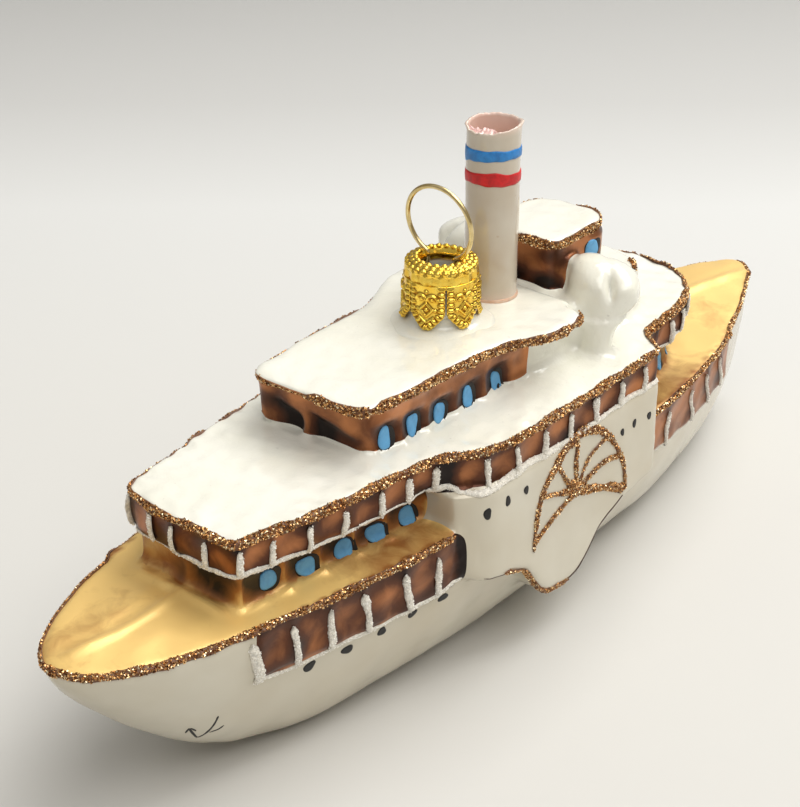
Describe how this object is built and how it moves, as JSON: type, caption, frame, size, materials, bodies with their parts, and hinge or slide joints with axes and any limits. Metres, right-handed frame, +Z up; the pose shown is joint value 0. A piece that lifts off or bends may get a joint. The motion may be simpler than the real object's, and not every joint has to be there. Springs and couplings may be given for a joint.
{
  "type": "blown-glass paddle steamer ornament",
  "caption": "Hanging glass ornament shaped as a paddle steamer, with a lift-off metal crown cap and a wire hanging loop that turns in it.",
  "frame": {"origin": "centre of the outline, on the keel's flat bottom", "axes": "+X towards the bow, +Y to port, +Z up along the funnel"},
  "size_m": [0.1456, 0.0398, 0.0653],
  "materials": {
    "hull": "pearl lacquer, opaque",
    "deck": "satin gold lacquer, opaque",
    "panel": "metallic brown lacquer, opaque",
    "roof": "thick glossy white enamel",
    "neck": "plain glass, silvered inside",
    "funnel": "glossy white with painted bands",
    "glue": "set glue",
    "cap": "bright, embossed",
    "wire": "bright drawn"
  },
  "bodies": {
    "glass": {"hull": "hull", "foredeck": "deck", "aft_deck": "deck", "bulwark_fore_port": "panel", "bulwark_fore_starboard": "panel", "bulwark_aft_port": "panel", "bulwark_aft_starboard": "panel", "deckhouse_fore": "panel", "deckhouse_aft": "panel", "promenade_wall": "panel", "promenade_roof": "roof", "paddle_box_port": "hull", "paddle_box_starboard": "hull", "upper_house": "panel", "boat_deck": "roof", "upper_roof": "roof", "aft_house": "panel", "aft_house_roof": "roof", "lifeboat_port": "roof", "lifeboat_starboard": "roof", "neck": "neck", "funnel": "funnel", "funnel_glue": "glue"},
    "cap": {"cap_crown": "cap"},
    "hanger": {"hanger": "wire"}
  },
  "joints": [
    {"name": "cap_lift", "type": "slide", "parent": "glass", "child": "cap", "axis": [0, 0, 1], "range_m": [0, 0.014]},
    {"name": "hanger_turn", "type": "hinge", "parent": "cap", "child": "hanger", "pos_m": [0.00475, 0, 0.0489], "axis": [0, 0, 1], "continuous": true}
  ]
}
